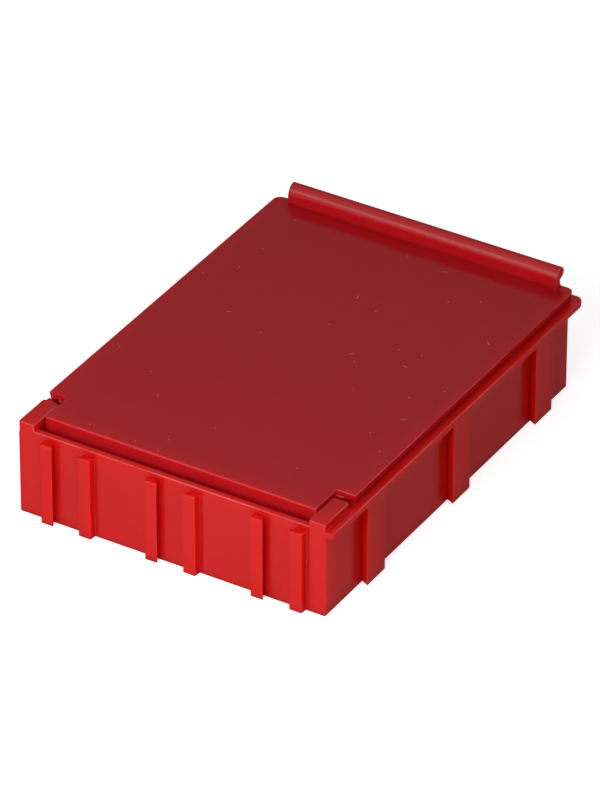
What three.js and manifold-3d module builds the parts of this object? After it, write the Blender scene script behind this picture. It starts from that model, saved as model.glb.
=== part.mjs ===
// Component storage box: a moulded tray with dovetail ribs and tongues that lock it to its neighbours,
// a lid that turns between two corner posts, and two leaf springs that hold the lid shut or open.
// Millimetres. X runs along the hinge, Y from the hinge end to the lip end, Z up.
// The origin is the middle of the tray's flat underside.

import * as THREE from 'three';
import { mergeVertices } from 'three/addons/utils/BufferGeometryUtils.js';
import Module from 'manifold-3d';

const wasm = await Module();
wasm.setup();

// Tray shell
const trayWidth = 77.6;
const trayDepth = 105.2;
const rimHeight = 21.9;
const wallThickness = 1.5;
const floorThickness = 1.5;
const trayCornerRadius = 0.5;
const compartmentCornerRadius = 2;
const compartmentFloorShare = 0.75;

// Rail along the right side and flange along the rear, both flush with the rim
const railThickness = 1.4;
const railWidth = 1.9;
const railEndRadius = 0.8;
const flangeWidth = 3.7;
const flangeCornerRadius = 2;

// Dovetails: ribs in pairs on the front and left, tongues on the right and rear
const dovetailsPerSide = 3;
const unitGap = 0.5;
const grooveMouth = 6.45;
const dovetailFlare = 0.95;
const ribDepth = 1.7;
const ribFaceWidth = 3.15;
const ribDraft = 0.2;
const tongueNeck = 0.1;
const tongueInset = 0.1;
const slideClearance = 0.12;
const frontGrooveShift = 0.82;
const sideGrooveShift = 2.1;
const upperBandInset = 0.14;

// Corner posts and the wall behind the hinge
const postWidth = 4.1;
const postDropFromLid = 0.5;
const postCornerRadius = 0.7;
const hingeWallThickness = 1.3;
const hingeWallDrop = 0.3;

// Lid plate
const lidThickness = 2;
const lidPlateThickness = 1.5;
const lidSeatGap = 0.1;
const lidRearOverhang = 2.7;
const lidCornerRadius = 2;
const lidWingRadius = 0.3;
const lidSideDraft = 0.25;
const notchGap = 2.25;
const lidBarEndGap = 0.6;
const lidFrontEdgeRadius = 0.4;
const sealRibThickness = 1.2;
const sealRibDepth = 1;
const sealRibClearance = 0.3;
const sealRibFrontGap = 0.5;

// Hinge: the cams and bosses are round-cornered squares about the trunnions
const hingeDropFromLid = 3.8;
const camReach = 2.5;
const camCornerRadius = 1.3;
const camWidth = 10;
const swingGap = 0.3;
const postRearGap = 0.9;
const apronThickness = 1.5;
const endBossWidth = 3;
const trunnionRadius = 1.5;
const trunnionLength = 1.8;
const trunnionChamfer = 0.4;
const trunnionClearance = 0.15;
const trunnionEndGap = 0.3;

// Finger lip on the lid, measured from the lid's rear edge and top
const lipSideInset = 3.85;
const lipFootSetback = 1.9;
const lipFrontHeight = 1.65;
const lipNoseRadius = 1.4;
const lipNoseTurn = THREE.MathUtils.degToRad(122);
const lipNoseHeight = 3;
const lipNoseOverhang = 0.25;
const lipNoseEndDrop = 1;
const lipNeckSetback = 0.05;
const lipNeckHeight = 1.35;

// Leaf springs and the pockets that hold them
const springOffset = 18;
const springWidth = 12;
const springThickness = 0.4;
const springClearance = 0.3;
const springBendRadius = 1.5;
const springTipLead = 1.2;
const springTipRadius = 1;
const pocketWall = 1.2;
const pocketHeight = 6;

// How far a cutting tool runs past what it cuts, and a joined piece into its neighbour
const overrun = 0.4;

const arcSteps = 6;
const roundSteps = 28;
const quarterTurn = Math.PI / 2;
const springTipTurn = 1.2;

// Places worked out from the sizes
const right = trayWidth / 2;
const left = -right;
const rear = trayDepth / 2;
const front = -rear;
const railUnderside = rimHeight - railThickness;
const lidUnderside = rimHeight + lidSeatGap;
const lidTop = lidUnderside + lidThickness;
const plateUnderside = lidTop - lidPlateThickness;
const postTop = lidTop - postDropFromLid;

const edgeReach = Math.hypot(camReach - lidFrontEdgeRadius, hingeDropFromLid - lidFrontEdgeRadius)
  + lidFrontEdgeRadius;
const camCornerReach = (camReach - camCornerRadius) * Math.SQRT2 + camCornerRadius;
const hingeY = front + wallThickness + swingGap + edgeReach;
const hingeZ = lidTop - hingeDropFromLid;
const barBack = hingeY + camReach;
const hingeWallFront = hingeY + camCornerReach + postRearGap;
const hingeWallRear = hingeWallFront + hingeWallThickness;
const hingeWallTop = rimHeight - hingeWallDrop;
const notchRear = hingeWallFront + notchGap;
const bandRight = right - upperBandInset;
const postInner = right - postWidth;
const barEnd = postInner - lidBarEndGap;
const lidRear = rear + lidRearOverhang;

const insideRight = right - wallThickness;
const insideRear = rear - wallThickness;
const insideFront = hingeWallRear;
const compartmentFloorRadius = compartmentCornerRadius * compartmentFloorShare;
const tongueDepth = railWidth - tongueInset - tongueNeck;

// A closed three.js geometry as a solid that can be joined and cut
function solidOf(geometry) {
  geometry.deleteAttribute('normal');
  geometry.deleteAttribute('uv');
  const merged = mergeVertices(geometry);
  return new wasm.Manifold(new wasm.Mesh({
    numProp: 3,
    vertProperties: new Float32Array(merged.attributes.position.array),
    triVerts: new Uint32Array(merged.index.array),
  }));
}

function geometryOf(solid) {
  const { vertProperties, triVerts } = solid.getMesh();
  const geometry = new THREE.BufferGeometry();
  geometry.setAttribute('position', new THREE.BufferAttribute(vertProperties, 3));
  geometry.setIndex(new THREE.BufferAttribute(triVerts, 1));
  geometry.computeVertexNormals();
  return geometry;
}

function joined(solids) {
  return solids.reduce((sum, solid) => sum.add(solid));
}

function cut(body, tools) {
  return tools.reduce((rest, tool) => rest.subtract(tool), body);
}

// An outline drawn as (u, v) and run from one end to the other. Each vertex is set from the named places
// themselves, so that faces which touch share exactly the same numbers.
function prism(outline, place) {
  const options = { depth: 1, bevelEnabled: false, curveSegments: arcSteps };
  const geometry = new THREE.ExtrudeGeometry(outline, options);
  const position = geometry.attributes.position;
  for (let i = 0; i < position.count; i += 1) {
    const [x, y, z] = place(position.getX(i), position.getY(i), position.getZ(i) > 0);
    position.setXYZ(i, x, y, z);
  }
  return solidOf(geometry);
}

// A plan outline raised from z0 to z1
function raised(outline, [z0, z1]) {
  return prism(outline, (u, v, atEnd) => [u, v, atEnd ? z1 : z0]);
}

// A side profile, drawn as (y, z), run along X from x0 to x1
function alongX(profile, [x0, x1]) {
  return prism(profile, (u, v, atEnd) => [atEnd ? x1 : x0, u, v]);
}

function polygon(points) {
  return new THREE.Shape(points.map(([x, y]) => new THREE.Vector2(x, y)));
}

function box([x0, x1], [y0, y1], heights) {
  return raised(polygon([[x0, y0], [x1, y0], [x1, y1], [x0, y1]]), heights);
}

// A rectangle with a radius at each corner: front left, front right, rear right, rear left
function roundedRectangle([x0, x1], [y0, y1], radii) {
  const corners = [[x0, y0, 1, 1], [x1, y0, -1, 1], [x1, y1, -1, -1], [x0, y1, 1, -1]];
  const outline = new THREE.Shape();
  corners.forEach(([x, y, inwardX, inwardY], corner) => {
    const radius = radii[corner];
    const start = Math.PI + corner * quarterTurn;
    outline.absarc(x + inwardX * radius, y + inwardY * radius, radius, start, start + quarterTurn);
  });
  return outline;
}

// Dovetail profiles are drawn along a wall as (u, v), with v outwards from the wall
const grooveHalf = grooveMouth / 2;
const flareSlope = dovetailFlare / ribDepth;

function ribPair() {
  const innerRoot = grooveHalf + dovetailFlare;
  const outer = grooveHalf + ribFaceWidth;
  const outerRoot = outer + ribDraft;
  return [
    [-outerRoot, 0],
    [-outer, ribDepth],
    [-grooveHalf, ribDepth],
    [-innerRoot, 0],
    [innerRoot, 0],
    [grooveHalf, ribDepth],
    [outer, ribDepth],
    [outerRoot, 0],
  ];
}

// A tongue's face stops short of the neighbour's wall, where its groove is already narrower
function tongue(reach) {
  const face = grooveHalf + dovetailFlare - flareSlope * (unitGap + tongueInset) - slideClearance;
  const root = face - flareSlope * tongueDepth;
  const neck = reach - tongueDepth;
  return [[-root, 0], [-root, neck], [-face, reach], [face, reach], [root, neck], [root, 0]];
}

function rowOf(unitLength, shift) {
  const middle = (dovetailsPerSide - 1) / 2;
  return Array.from({ length: dovetailsPerSide }, (_, i) => shift + ((i - middle) * unitLength) / dovetailsPerSide);
}

// The tray's plan below the rail: the front, right, rear and left walls in turn, each after its corner
function lowerOutline() {
  const widthPlaces = rowOf(trayWidth + railWidth + unitGap, frontGrooveShift);
  const depthPlaces = rowOf(trayDepth + flangeWidth + unitGap, sideGrooveShift);
  const backwards = (places) => places.map((place) => -place).reverse();
  const walls = [
    { half: right, reach: rear, places: widthPlaces, profile: ribPair() },
    { half: rear, reach: right, places: depthPlaces, profile: tongue(railWidth - tongueInset) },
    { half: right, reach: rear, places: backwards(widthPlaces), profile: tongue(flangeWidth - tongueInset) },
    { half: rear, reach: right, places: backwards(depthPlaces), profile: ribPair() },
  ];
  const outline = new THREE.Shape();
  walls.forEach(({ half, reach, places, profile }, side) => {
    const turn = side * quarterTurn;
    const onPlan = (along, out) => [
      along * Math.cos(turn) + out * Math.sin(turn),
      along * Math.sin(turn) - out * Math.cos(turn),
    ];
    const centre = onPlan(trayCornerRadius - half, reach - trayCornerRadius);
    outline.absarc(...centre, trayCornerRadius, turn + Math.PI, turn + Math.PI + quarterTurn);
    places.forEach((place) => {
      profile.forEach(([u, v]) => outline.lineTo(...onPlan(place + u, reach + v)));
    });
  });
  return outline;
}

// The band at the rim: the rail on the right and the flange at the rear stand out of it
function upperOutline() {
  const radii = [trayCornerRadius, railEndRadius, flangeCornerRadius, flangeCornerRadius];
  return roundedRectangle([-bandRight, right + railWidth], [front, rear + flangeWidth], radii);
}

function post(widths, frontRadii) {
  const radii = [...frontRadii, postCornerRadius, postCornerRadius];
  return raised(roundedRectangle(widths, [front, hingeWallFront], radii), [rimHeight, postTop]);
}

// The compartment's floor edge is round; the tool's round top lies above the rim
function compartmentCut() {
  const outline = roundedRectangle(
    [-insideRight, insideRight],
    [insideFront, insideRear],
    Array(4).fill(compartmentCornerRadius),
  );
  const depth = rimHeight + overrun - floorThickness;
  const geometry = new THREE.ExtrudeGeometry(outline, {
    depth,
    curveSegments: arcSteps,
    bevelThickness: compartmentFloorRadius,
    bevelSize: compartmentFloorRadius,
    bevelOffset: -compartmentFloorRadius,
    bevelSegments: arcSteps,
  });
  return solidOf(geometry.translate(0, 0, floorThickness + compartmentFloorRadius));
}

function hingeWellCut() {
  const heights = [floorThickness, rimHeight + overrun];
  return box([-postInner, postInner], [front + wallThickness, hingeWallFront], heights);
}

function hingeWallTopCut() {
  const depths = [hingeWallFront - overrun, hingeWallRear + overrun];
  return box([-postInner, postInner], depths, [hingeWallTop, rimHeight + overrun]);
}

// A round bar along X from x0 to x1 on the hinge line
function hingeRound(radius, [x0, x1]) {
  const geometry = new THREE.CylinderGeometry(radius, radius, x1 - x0, roundSteps);
  geometry.rotateZ(quarterTurn).translate((x0 + x1) / 2, hingeY, hingeZ);
  return solidOf(geometry);
}

function trunnionSockets() {
  const depth = trunnionLength - lidBarEndGap + trunnionEndGap;
  const radius = trunnionRadius + trunnionClearance;
  const reach = [postInner - overrun, postInner + depth];
  return [
    hingeRound(radius, reach),
    hingeRound(radius, reach.map((x) => -x).reverse()),
  ];
}

// Each spring foot stands in a pocket on the front of the hinge wall
const pocketDepth = springThickness + springClearance * 2;

function springPocket(centre) {
  const half = springWidth / 2 + springClearance;
  const outside = half + pocketWall;
  const back = hingeWallFront + overrun;
  const slotFront = hingeWallFront - pocketDepth;
  const outline = polygon([
    [centre - outside, back],
    [centre - outside, slotFront - pocketWall],
    [centre + outside, slotFront - pocketWall],
    [centre + outside, back],
    [centre + half, back],
    [centre + half, slotFront],
    [centre - half, slotFront],
    [centre - half, back],
  ]);
  return raised(outline, [floorThickness - overrun, floorThickness + pocketHeight]);
}

function baseTray() {
  const outside = joined([
    raised(lowerOutline(), [0, railUnderside]),
    raised(upperOutline(), [railUnderside, rimHeight]),
  ]);
  const hollow = cut(outside, [compartmentCut(), hingeWellCut(), hingeWallTopCut()]);
  const shell = joined([
    hollow,
    post([-bandRight, -postInner], [trayCornerRadius, 0]),
    post([postInner, bandRight], [0, trayCornerRadius]),
    springPocket(-springOffset),
    springPocket(springOffset),
  ]);
  return cut(shell, trunnionSockets());
}

// The plate's outline starts at the back of the hinge bar and widens behind the posts
function plateOutline() {
  const outline = new THREE.Shape();
  const wing = lidWingRadius;
  const corner = lidCornerRadius;
  outline.moveTo(-barEnd, barBack);
  outline.lineTo(barEnd, barBack);
  outline.lineTo(barEnd, notchRear);
  outline.absarc(right - wing, notchRear + wing, wing, -quarterTurn, 0);
  outline.absarc(right - corner, lidRear - corner, corner, 0, quarterTurn);
  outline.absarc(left + corner, lidRear - corner, corner, quarterTurn, Math.PI);
  outline.absarc(left + wing, notchRear + wing, wing, Math.PI, Math.PI + quarterTurn);
  outline.lineTo(-barEnd, notchRear);
  return outline;
}

// The plate's sides draw in slightly towards their lower edge, apart from those beside the posts
function plate() {
  const middle = (notchRear + lidRear) / 2;
  return prism(plateOutline(), (x, y, atTop) => {
    if (atTop) {
      return [x, y, lidTop];
    }
    const sideways = Math.abs(x) > postInner ? Math.sign(x) * lidSideDraft : 0;
    const lengthways = y > hingeWallFront ? Math.sign(y - middle) * lidSideDraft : 0;
    return [x - sideways, y - lengthways, lidUnderside];
  });
}

// Side profile of the hinge bar, drawn about the hinge line
function barProfile() {
  const edge = lidFrontEdgeRadius;
  const corner = camCornerRadius;
  const bottom = hingeZ - camReach;
  const face = hingeY - camReach;
  const profile = new THREE.Shape();
  profile.moveTo(barBack, lidTop);
  profile.lineTo(face + edge, lidTop);
  profile.absarc(face + edge, lidTop - edge, edge, quarterTurn, Math.PI);
  profile.absarc(face + corner, bottom + corner, corner, Math.PI, Math.PI + quarterTurn);
  profile.absarc(barBack - corner, bottom + corner, corner, -quarterTurn, 0);
  return profile;
}

// The bar is hollow behind its apron, apart from the end bosses and the cams
function hingeBar() {
  const bossInner = barEnd - endBossWidth;
  const camInner = springOffset - camWidth / 2;
  const camOuter = springOffset + camWidth / 2;
  const depths = [hingeY - camReach + apronThickness, barBack + overrun];
  const heights = [hingeZ - camReach - overrun, lidUnderside];
  return cut(alongX(barProfile(), [-barEnd, barEnd]), [
    box([-bossInner, -camOuter], depths, heights),
    box([-camInner, camInner], depths, heights),
    box([camOuter, bossInner], depths, heights),
  ]);
}

function trunnion(side) {
  const tip = trunnionRadius - trunnionChamfer;
  const profile = [
    [0, -overrun],
    [trunnionRadius, -overrun],
    [trunnionRadius, trunnionLength - trunnionChamfer],
    [tip, trunnionLength],
    [0, trunnionLength],
  ];
  const geometry = new THREE.LatheGeometry(profile.map(([r, h]) => new THREE.Vector2(r, h)), roundSteps);
  geometry.rotateZ(-side * quarterTurn).translate(side * barEnd, hingeY, hingeZ);
  return solidOf(geometry);
}

// The lip's front rises straight, then bends back in a broad curve that runs into the nose
function lipProfile() {
  const noseY = lidRear + lipNoseOverhang;
  const noseZ = lidTop + lipNoseHeight;
  const footY = lidRear - lipFootSetback;
  const footZ = lidTop - overrun;
  const neckY = lidRear - lipNeckSetback;
  const bendZ = noseZ + (lipNoseRadius + (noseY - footY) * Math.cos(lipNoseTurn)) / Math.sin(lipNoseTurn);
  const endTurn = -Math.asin(lipNoseEndDrop / lipNoseRadius);
  const profile = new THREE.Shape();
  profile.moveTo(neckY, footZ);
  profile.lineTo(neckY, lidTop + lipNeckHeight);
  profile.absarc(noseY, noseZ, lipNoseRadius, endTurn, lipNoseTurn);
  profile.quadraticCurveTo(footY, bendZ, footY, lidTop + lipFrontHeight);
  profile.lineTo(footY, footZ);
  return profile;
}

function sealRib() {
  const outerX = insideRight - sealRibClearance;
  const outerRear = insideRear - sealRibClearance;
  const outerFront = insideFront + sealRibFrontGap;
  const heights = [lidUnderside - sealRibDepth, plateUnderside + overrun];
  const outerRadius = compartmentCornerRadius - sealRibClearance;
  const outer = roundedRectangle([-outerX, outerX], [outerFront, outerRear], Array(4).fill(outerRadius));
  return raised(outer, heights);
}

// The pocket inside the seal rib leaves the plate thinner than the lid's edge
function plateHollow() {
  const innerX = insideRight - sealRibClearance - sealRibThickness;
  const innerRear = insideRear - sealRibClearance - sealRibThickness;
  const innerFront = insideFront + sealRibFrontGap + sealRibThickness;
  const heights = [lidUnderside - sealRibDepth - overrun, plateUnderside];
  return box([-innerX, innerX], [innerFront, innerRear], heights);
}

function lid() {
  const lipReach = right - lipSideInset;
  const whole = joined([
    plate(),
    hingeBar(),
    trunnion(1),
    trunnion(-1),
    alongX(lipProfile(), [-lipReach, lipReach]),
    sealRib(),
  ]);
  return whole.subtract(plateHollow());
}

// Side profile of a leaf spring: foot, leg, bend, arm under the cam, and curled tip
function springProfile() {
  const half = springThickness / 2;
  const legY = hingeWallFront - pocketDepth / 2;
  const footZ = floorThickness + springClearance;
  const armZ = hingeZ - camCornerReach - springClearance - half;
  const bendY = legY - springBendRadius;
  const bendZ = armZ - springBendRadius;
  const tipY = hingeY - springTipLead;
  const tipZ = armZ - springTipRadius;
  const tipEnd = quarterTurn + springTipTurn;
  const profile = new THREE.Shape();
  profile.moveTo(legY - half, footZ);
  profile.lineTo(legY + half, footZ);
  profile.absarc(bendY, bendZ, springBendRadius + half, 0, quarterTurn);
  profile.absarc(tipY, tipZ, springTipRadius + half, quarterTurn, tipEnd);
  profile.absarc(tipY, tipZ, springTipRadius - half, tipEnd, quarterTurn, true);
  profile.absarc(bendY, bendZ, springBendRadius - half, quarterTurn, 0, true);
  return profile;
}

function lidSpring(centre) {
  return alongX(springProfile(), [centre - springWidth / 2, centre + springWidth / 2]);
}

function redPlastic() {
  return new THREE.MeshStandardMaterial({ color: 0xc4201f, roughness: 0.34, metalness: 0, flatShading: true });
}

function springSteel() {
  return new THREE.MeshStandardMaterial({ color: 0xb9bbbd, roughness: 0.3, metalness: 1, flatShading: true });
}

function piece(name, solid, material) {
  const mesh = new THREE.Mesh(geometryOf(solid), material);
  mesh.name = name;
  return mesh;
}

const storageBox = new THREE.Group();
storageBox.name = 'component_storage_box';
storageBox.add(
  piece('base_tray', baseTray(), redPlastic()),
  piece('lid', lid(), redPlastic()),
  piece('lid_spring_left', lidSpring(-springOffset), springSteel()),
  piece('lid_spring_right', lidSpring(springOffset), springSteel()),
);

export default storageBox;
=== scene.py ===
import math

import bmesh
import bpy
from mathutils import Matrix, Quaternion, Vector
from mathutils.bvhtree import BVHTree
from mathutils.geometry import intersect_line_line_2d, intersect_point_line


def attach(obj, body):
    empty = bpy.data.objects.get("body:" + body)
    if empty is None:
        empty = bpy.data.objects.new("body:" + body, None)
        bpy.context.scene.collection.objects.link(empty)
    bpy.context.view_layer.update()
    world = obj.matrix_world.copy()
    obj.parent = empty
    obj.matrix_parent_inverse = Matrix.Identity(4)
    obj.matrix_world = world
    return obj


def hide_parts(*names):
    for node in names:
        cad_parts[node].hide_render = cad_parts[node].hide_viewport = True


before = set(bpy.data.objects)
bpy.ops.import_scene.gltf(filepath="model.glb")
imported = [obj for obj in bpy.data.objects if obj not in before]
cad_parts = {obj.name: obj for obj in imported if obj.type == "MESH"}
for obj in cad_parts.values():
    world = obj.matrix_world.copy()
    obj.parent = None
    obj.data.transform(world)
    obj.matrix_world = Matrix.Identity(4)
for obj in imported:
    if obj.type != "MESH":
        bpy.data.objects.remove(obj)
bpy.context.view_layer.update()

MM = 0.001
WHITE = (1, 1, 1, 1)

# Camera, fitted to the photograph's edges: lens and sensor in mm, places in metres, roll in radians
LENS = 307.2
SENSOR_HEIGHT = 36
CLIP_START = 0.05
CLIP_END = 20
CAMERA_PLACE = (0.64848, -1.07396, 0.83885)
CAMERA_FORWARD = (-0.431336, 0.715092, -0.550084)
CAMERA_ROLL = 0.00246

# Each lamp's azimuth and elevation in degrees, distance and size in metres, and power in watts
LAMPS = {
    "key": (7, 27, 0.44, 0.25, 1.19),
    "fill": (100, 48, 1.6, 0.9, 2.95),
    "glint": (-31, 34, 0.6, 0.22, 0.32),
}

# Sky as it lights the box
SKY_LIGHT = 0.13
SKY_TINT = (0.93, 0.95, 1.0, 1)

# Floor, with the glow that whitens it between two distances from the box's middle
FLOOR_HALF = 4.0
FLOOR_DROP = 0.05 * MM
FLOOR_COLOUR = (0.86, 0.86, 0.86, 1)
FLOOR_ROUGHNESS = 0.9
GLOW_DISTANCES = (0.06, 0.16)
FLOOR_GLOW = (0.72, 0.95)

# Plastic colours: the red and blue of the tray and of the lid, and the green of both. The lid's red
# is darker than the tray's, which is painted shade on one and the same plastic, and its extra blue
# is a painted sheen of the sky's reflection
TRAY_RED, TRAY_BLUE = 0.66, 0.008
LID_SHADED_RED, LID_SHEEN_BLUE = 0.545, 0.0135
GREEN = 0.0085
RED_DRIFT = 0.03

# How strongly dust and the painted edge highlight show on the tray and on the lid, and their pale
# colour
TRAY_DUST, TRAY_PAINTED_HIGHLIGHT = 0.2, 0.45
LID_DUST, LID_PAINTED_HIGHLIGHT = 1.0, 0.3
DUST_AND_HIGHLIGHT_COLOUR = (1.0, 0.24, 0.24, 1)

# Marks: cells per metre, chance of an empty cell, and half width and half length in mm
SPECKS = (170, 0.87, 0.15, 0.15)
HAIRLINES = (90, 0.86, 0.08, 0.8)

# The share of a mark at full strength, a turn in radians, and how squarely a dusty face looks up
MARK_CORE = 0.5
FULL_TURN = 6.28
DUSTY_SLOPE = (0.9, 0.95)

# Painted edge highlight: the noise values between which it sets in, and the heights in metres over
# which it comes in
HIGHLIGHT_NOISE = (0.42, 0.60)
HIGHLIGHT_HEIGHT = (0.0212, 0.0216)

# Light in the plastic: how far each colour scatters in mm, and how gloss varies and falls off
SCATTER = (7, 0.5, 0.4)
PLASTIC_IOR = 1.5
GLOSS = (0.17, 0.24)
SPECULAR = 0.46
SPECULAR_FALL = 3.6

# Noise fields as cells per metre and detail, and roughness where it isn't the usual one
DRIFT_FIELD = (38, 3)
HIGHLIGHT_FIELD = (45, 3)
GLOSS_FIELD = (120, 4, 0.6)
GRAIN_FIELD = (2600, 3, 0.6)
WAVE_FIELD = (70, 2)

# The noise values that are spread over a range of roughness
NOISE_SPAN = (0.3, 0.7)

# Bumps as strength and height in metres
GRAIN_BUMP = (0.10, 0.00003)
WAVE_BUMP = (0.25, 0.0003)
ROLLED_BUMP = (0.15, 0.00002)

# Spring steel: lines drawn out along the strip, and stains
LINE_STRETCH = (6000, 250, 250)
LINE_FIELD = (1.0, 3)
STAIN_FIELD = (400, 3)
DARK_STEEL = (0.50, 0.50, 0.51, 1)
LIGHT_STEEL = (0.66, 0.66, 0.67, 1)
STAIN_COLOUR = (0.30, 0.28, 0.26, 1)
STAIN_NOISE = (0.55, 0.75)
STAIN_SHARE = 0.35
STEEL_ROUGHNESS = (0.22, 0.38)

# Edge rounding: the radii, the strips to each edge, and how often it is tried with fewer edges
MOULDED_RADIUS = 0.18 * MM
SPRING_RADIUS = 0.05 * MM
ROUNDING_SEGMENTS = 2
ROUNDING_TURNS = 4

# The distance at which corners are welded, and the angles up to which faces are one flat, from
# which an edge is rounded, and up to which it is shaded smooth
WELD_DISTANCE = 0.002 * MM
FLAT_ANGLE = math.radians(1)
SHARP_ANGLE = math.radians(28)
SMOOTH_ANGLE = math.radians(50)
NORMAL_WEIGHT = 60

# Shares of the radius: the room an edge needs, the stray a corner may have, a fault's first reach
ROOM = 1.3
STRAY = 0.6
FAULT_REACH = 1.2

# Limits for a fold: doubled area in square metres, agreement with the solid, corners of a long face
SLIVER = 4e-10
AGREEMENT = 0.2
LONG_FACE = 6


# Camera at the photograph's angle, in the same frame as the box
def add_camera():
    data = bpy.data.cameras.new("camera")
    data.sensor_fit = "VERTICAL"
    data.sensor_height = SENSOR_HEIGHT
    data.lens = LENS
    data.clip_start = CLIP_START
    data.clip_end = CLIP_END
    camera = bpy.data.objects.new("camera", data)
    bpy.context.collection.objects.link(camera)
    camera.location = CAMERA_PLACE
    aim = Vector(CAMERA_FORWARD).to_track_quat("-Z", "Y")
    turn = aim @ Quaternion((0, 0, 1), CAMERA_ROLL)
    camera.rotation_euler = turn.to_euler()
    bpy.context.scene.camera = camera
    bpy.context.scene.view_settings.view_transform = "Standard"


# The node tree of a material or world, with short calls that add to it
class Tree:
    def __init__(self, owner, shader):
        owner.use_nodes = True
        self.owner = owner
        self.tree = owner.node_tree
        self.shader = self.tree.nodes[shader]

    def node(self, kind, inputs=None, **settings):
        made = self.tree.nodes.new(kind)
        for key, value in settings.items():
            setattr(made, key, value)
        for key, value in (inputs or {}).items():
            self.feed(made, key, value)
        return made

    def feed(self, node, key, value):
        socket = node.inputs[key]
        if isinstance(value, bpy.types.NodeSocket):
            self.tree.links.new(value, socket)
        else:
            socket.default_value = value

    def math(self, operation, *values):
        return self.node("ShaderNodeMath", dict(enumerate(values)), operation=operation).outputs[0]

    def place(self):
        return self.node("ShaderNodeTexCoord").outputs["Object"]

    def parts(self, vector):
        return self.node("ShaderNodeSeparateXYZ", {0: vector}).outputs

    def noise(self, vector, scale, detail, roughness=0.5):
        inputs = {"Vector": vector, "Scale": scale, "Detail": detail, "Roughness": roughness}
        return self.node("ShaderNodeTexNoise", inputs).outputs["Fac"]

    def remap(self, value, from_low, from_high, to_low, to_high):
        inputs = {0: value, 1: from_low, 2: from_high, 3: to_low, 4: to_high}
        return self.node("ShaderNodeMapRange", inputs, clamp=True).outputs[0]

    def mix(self, factor, first, second):
        inputs = {0: factor, 6: first, 7: second}
        return self.node("ShaderNodeMix", inputs, data_type="RGBA").outputs[2]

    def bump(self, height, strength, distance, **more):
        inputs = {"Height": height, "Strength": strength, "Distance": distance, **more}
        return self.node("ShaderNodeBump", inputs).outputs[0]

    # How much a point lies within a size, given in mm: wholly in the core, then less
    def within(self, value, size):
        away = self.math("ABSOLUTE", value)
        return self.remap(away, size * MM * MARK_CORE, size * MM, 1, 0)

    # Specks or short hairlines seen from above: one in some of the cells, turned at random
    def marks(self, place, scale, rarity, half_width, half_length):
        cells = self.node(
            "ShaderNodeTexVoronoi", {"Vector": place, "Scale": scale}, voronoi_dimensions="2D"
        ).outputs
        offset = self.node(
            "ShaderNodeVectorMath", {0: place, 1: cells["Position"]}, operation="SUBTRACT"
        ).outputs[0]
        chance = self.node("ShaderNodeSeparateColor", {0: cells["Color"]}).outputs
        angle = self.math("MULTIPLY", chance[1], FULL_TURN)
        turned = self.node("ShaderNodeVectorRotate", {"Vector": offset, "Angle": angle}).outputs[0]
        local = self.parts(turned)
        inside = self.math(
            "MULTIPLY", self.within(local[0], half_width), self.within(local[1], half_length)
        )
        return self.math("MULTIPLY", self.math("GREATER_THAN", chance[0], rarity), inside)

    # 1 for what the camera sees, also in gloss and through glass, and 0 for light on the box
    def seen(self):
        path = self.node("ShaderNodeLightPath").outputs
        shown = self.math("MAXIMUM", path["Is Camera Ray"], path["Is Glossy Ray"])
        return self.math("MAXIMUM", shown, path["Is Transmission Ray"])


def new_material(name):
    return Tree(bpy.data.materials.new(name), "Principled BSDF")


# Dust and hairlines on what faces up, and a painted highlight on the rounded outer edges near the
# rim
def dust_and_painted_highlight(tree, place, dust, highlight_strength):
    normal = tree.node("ShaderNodeNewGeometry").outputs["Normal"]
    marks = tree.math("MAXIMUM", tree.marks(place, *SPECKS), tree.marks(place, *HAIRLINES))
    dusty = tree.remap(tree.parts(normal)["Z"], *DUSTY_SLOPE, 0, dust)
    marks = tree.math("MULTIPLY", marks, dusty)
    # Painted highlight: a pale colour on the marked edge strips near the rim stands in for glints
    # of light
    edge = tree.node("ShaderNodeAttribute", attribute_name="edge").outputs["Fac"]
    glint_patches = tree.remap(tree.noise(place, *HIGHLIGHT_FIELD), *HIGHLIGHT_NOISE, 0, highlight_strength)
    high = tree.remap(tree.parts(place)["Z"], *HIGHLIGHT_HEIGHT, 0, 1)
    painted_glint = tree.math("MULTIPLY", tree.math("MULTIPLY", edge, glint_patches), high)
    return tree.math("MAXIMUM", marks, painted_glint)


# Red moulded plastic that scatters light: colour and gloss drift a little over it
def red_plastic(name, red, blue, dust, highlight_strength):
    tree = new_material(name)
    place = tree.place()
    low = (red * (1 - RED_DRIFT), GREEN, blue, 1)
    high = (red * (1 + RED_DRIFT), GREEN, blue, 1)
    base = tree.mix(tree.noise(place, *DRIFT_FIELD), low, high)
    marks = dust_and_painted_highlight(tree, place, dust, highlight_strength)
    # The pale colour holds the dust and hairlines and the painted edge highlight
    tree.feed(tree.shader, "Base Color", tree.mix(marks, base, DUST_AND_HIGHLIGHT_COLOUR))

    cloud = tree.noise(place, *GLOSS_FIELD)
    tree.feed(tree.shader, "Roughness", tree.remap(cloud, *NOISE_SPAN, *GLOSS))
    facing = tree.node("ShaderNodeLayerWeight").outputs["Facing"]
    turned = tree.math("POWER", tree.math("SUBTRACT", 1.0, facing), SPECULAR_FALL)
    tree.feed(tree.shader, "Specular IOR Level", tree.math("MULTIPLY", turned, SPECULAR))

    fine = tree.bump(tree.noise(place, *GRAIN_FIELD), *GRAIN_BUMP)
    broad = tree.bump(tree.noise(place, *WAVE_FIELD), *WAVE_BUMP, Normal=fine)
    tree.feed(tree.shader, "Normal", broad)

    tree.shader.inputs["IOR"].default_value = PLASTIC_IOR
    tree.shader.subsurface_method = "RANDOM_WALK"
    tree.shader.inputs["Subsurface Weight"].default_value = 1.0
    tree.shader.inputs["Subsurface Radius"].default_value = SCATTER
    tree.shader.inputs["Subsurface Scale"].default_value = MM
    return tree.owner


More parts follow.
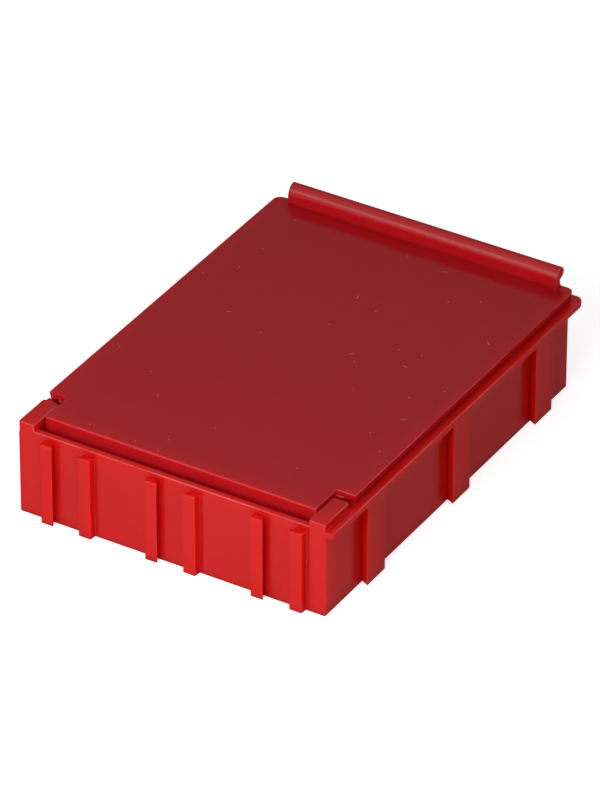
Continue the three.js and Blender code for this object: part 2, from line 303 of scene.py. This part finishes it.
# Rolled spring strip: fine lines along its length and a few darker spots
def spring_steel():
    tree = new_material("spring_steel")
    place = tree.place()
    mapping = tree.node("ShaderNodeMapping", {"Vector": place, "Scale": LINE_STRETCH})
    lines = tree.noise(mapping.outputs[0], *LINE_FIELD)
    stain = tree.remap(tree.noise(place, *STAIN_FIELD), *STAIN_NOISE, 0, STAIN_SHARE)
    base = tree.mix(lines, DARK_STEEL, LIGHT_STEEL)
    tree.feed(tree.shader, "Base Color", tree.mix(stain, base, STAIN_COLOUR))
    tree.feed(tree.shader, "Roughness", tree.remap(lines, *NOISE_SPAN, *STEEL_ROUGHNESS))
    tree.feed(tree.shader, "Normal", tree.bump(lines, *ROLLED_BUMP))
    tree.shader.inputs["Metallic"].default_value = 1.0
    return tree.owner


# A CAD node's mesh with its triangles merged into flats
def merged(node):
    shape = bmesh.new()
    shape.faces.layers.float.new("edge")
    shape.from_mesh(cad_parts[node].data)
    bmesh.ops.remove_doubles(shape, verts=shape.verts, dist=WELD_DISTANCE)
    bmesh.ops.dissolve_limit(
        shape, angle_limit=FLAT_ANGLE, use_dissolve_boundaries=False,
        verts=shape.verts, edges=shape.edges,
    )
    shape.edges.index_update()
    shape.edges.ensure_lookup_table()
    return shape


# How far a face runs from one of its edges, square to it
def reach_across(face, edge):
    start, end = (v.co for v in edge.verts)
    along = (end - start).normalized()
    return max(((v.co - start) - along * (v.co - start).dot(along)).length for v in face.verts)


# The numbers of the sharp edges whose faces have room for the rounding
def sharp_edges(source, radius):
    room = radius * ROOM
    return {
        edge.index for edge in source.edges
        if edge.calc_face_angle(0) > SHARP_ANGLE
        and all(reach_across(face, edge) > room for face in edge.link_faces)
    }


# Marks the strips that round an outer edge, which carry the painted edge highlight
def mark_edges(shape, strips, solid):
    layer = shape.faces.layers.float["edge"]
    for face in strips:
        centre = face.calc_center_median()
        nearest, normal, _, _ = solid.find_nearest(centre)
        face[layer] = (centre - nearest).dot(normal) < 0


# A copy of the source with the chosen edges rounded
def bevelled(source, chosen, radius, solid):
    shape = source.copy()
    shape.edges.index_update()
    strips = bmesh.ops.bevel(
        shape, geom=[edge for edge in shape.edges if edge.index in chosen],
        offset=radius, offset_type="OFFSET", segments=ROUNDING_SEGMENTS, profile=0.5,
        affect="EDGES", clamp_overlap=False, loop_slide=True,
    )
    mark_edges(shape, strips["faces"], solid)
    shape.normal_update()
    return shape


# Where the outline of a flat face crosses itself, tested in mm
def crossings(face):
    drop = max(range(3), key=lambda axis: abs(face.normal[axis]))
    corners = [
        Vector([c / MM for axis, c in enumerate(v.co) if axis != drop]) for v in face.verts
    ]
    sides = list(zip(corners, corners[1:] + corners[:1]))
    found = []
    for i, side in enumerate(sides):
        end = len(sides) if i else len(sides) - 1
        for other in sides[i + 2:end]:
            if intersect_line_line_2d(*side, *other):
                found.append(face.verts[i].co)
    return found


# Where a rounded shape leaves the solid or folds over itself
def faults(shape, solid, radius):
    folded = set()
    for corners in shape.calc_loop_triangles():
        a, b, c = (corner.vert.co for corner in corners)
        square = (b - a).cross(c - a)
        _, normal, _, distance = solid.find_nearest((a + b + c) / 3)
        off = distance > radius * STRAY or square.normalized().dot(normal) < AGREEMENT
        if off and square.length > SLIVER:
            folded.add(corners[0].face)
    found = [v.co for v in shape.verts if solid.find_nearest(v.co)[3] > radius * STRAY]
    for face in folded:
        found += crossings(face) if len(face.verts) > LONG_FACE else [v.co for v in face.verts]
    return found


# Whether an edge runs within reach of a point
def passes(edge, point, reach):
    start, end = (v.co for v in edge.verts)
    share = intersect_point_line(point, start, end)[1]
    near = start.lerp(end, min(max(share, 0), 1))
    return (near - point).length < reach


# The source with its edges rounded, but for those where two roundings would run into each other
def round_edges(source, radius):
    solid = BVHTree.FromBMesh(source)
    chosen = sharp_edges(source, radius)
    for turn in range(ROUNDING_TURNS):
        shape = bevelled(source, chosen, radius, solid)
        places = faults(shape, solid, radius)
        if not places or turn == ROUNDING_TURNS - 1:
            break
        reach = radius * (FAULT_REACH + turn)
        chosen -= {
            i for i in chosen if any(passes(source.edges[i], place, reach) for place in places)
        }
        shape.free()
    for vert in shape.verts:
        nearest, _, _, distance = solid.find_nearest(vert.co)
        if distance > radius * STRAY:
            vert.co = nearest
    return shape


# The piece that stands for a CAD node: the node's solid with rounded edges and a material
def rounded(node, name, body, material, radius):
    source = merged(node)
    shape = round_edges(source, radius)
    for edge in shape.edges:
        edge.smooth = edge.calc_face_angle(0) < SMOOTH_ANGLE
    for face in shape.faces:
        face.smooth = True
    mesh = bpy.data.meshes.new(name)
    shape.to_mesh(mesh)
    shape.free()
    source.free()
    mesh.materials.append(material)
    piece = bpy.data.objects.new(name, mesh)
    bpy.context.collection.objects.link(piece)
    weighted = piece.modifiers.new("weighted_normals", "WEIGHTED_NORMAL")
    weighted.weight = NORMAL_WEIGHT
    weighted.keep_sharp = True
    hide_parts(node)
    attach(piece, body)


# A wide white floor just below the box, which keeps the box's soft shadow
def add_floor():
    mesh = bpy.data.meshes.new("floor")
    signs = ((-1, -1), (1, -1), (1, 1), (-1, 1))
    corners = [(x * FLOOR_HALF, y * FLOOR_HALF, 0) for x, y in signs]
    mesh.from_pydata(corners, [], [(0, 1, 2, 3)])
    floor = bpy.data.objects.new("floor", mesh)
    floor.location.z = -FLOOR_DROP
    bpy.context.collection.objects.link(floor)
    tree = new_material("floor")
    tree.shader.inputs["Base Color"].default_value = FLOOR_COLOUR
    tree.shader.inputs["Roughness"].default_value = FLOOR_ROUGHNESS
    tree.shader.inputs["Specular IOR Level"].default_value = 0.0
    tree.shader.inputs["Emission Color"].default_value = WHITE
    away = tree.node("ShaderNodeVectorMath", {0: tree.place()}, operation="LENGTH")
    glow = tree.remap(away.outputs["Value"], *GLOW_DISTANCES, *FLOOR_GLOW)
    tree.feed(tree.shader, "Emission Strength", tree.math("MULTIPLY", tree.seen(), glow))
    mesh.materials.append(tree.owner)


# A world that is white to the camera and in gloss, and a dim sky as light
def add_world():
    tree = Tree(bpy.data.worlds.new("studio"), "Background")
    bpy.context.scene.world = tree.owner
    seen = tree.seen()
    strength = tree.node("ShaderNodeMix", {0: seen, 2: SKY_LIGHT, 3: 1.0}, data_type="FLOAT")
    tree.feed(tree.shader, "Color", tree.mix(seen, SKY_TINT, WHITE))
    tree.feed(tree.shader, "Strength", strength.outputs[0])


# A soft square lamp aimed at the middle of the box's underside
def add_lamp(name, azimuth, elevation, distance, size, power):
    data = bpy.data.lights.new(name, "AREA")
    data.shape = "SQUARE"
    data.size = size
    data.energy = power
    lamp = bpy.data.objects.new(name, data)
    bpy.context.collection.objects.link(lamp)
    around, up = math.radians(azimuth), math.radians(elevation)
    direction = Vector((
        math.sin(around) * math.cos(up), -math.cos(around) * math.cos(up), math.sin(up)
    ))
    lamp.location = direction * distance
    lamp.rotation_euler = (-direction).to_track_quat("-Z", "Y").to_euler()


add_camera()
plastic = red_plastic("red_plastic", TRAY_RED, TRAY_BLUE, TRAY_DUST, TRAY_PAINTED_HIGHLIGHT)
# The lid's copy of the same plastic is darker and bluer: painted shade and a painted sky sheen
shaded_lid_plastic = red_plastic("red_plastic_lid_painted_shade", LID_SHADED_RED, LID_SHEEN_BLUE, LID_DUST, LID_PAINTED_HIGHLIGHT)
steel = spring_steel()
rounded("base_tray", "tray_shell", "base", plastic, MOULDED_RADIUS)
rounded("lid", "lid_panel", "lid", shaded_lid_plastic, MOULDED_RADIUS)
for side in ("left", "right"):
    spring, strip = f"lid_spring_{side}", f"leaf_spring_{side}"
    rounded(spring, strip, "base", steel, SPRING_RADIUS)
add_floor()
add_world()
for lamp_name, settings in LAMPS.items():
    add_lamp(lamp_name, *settings)
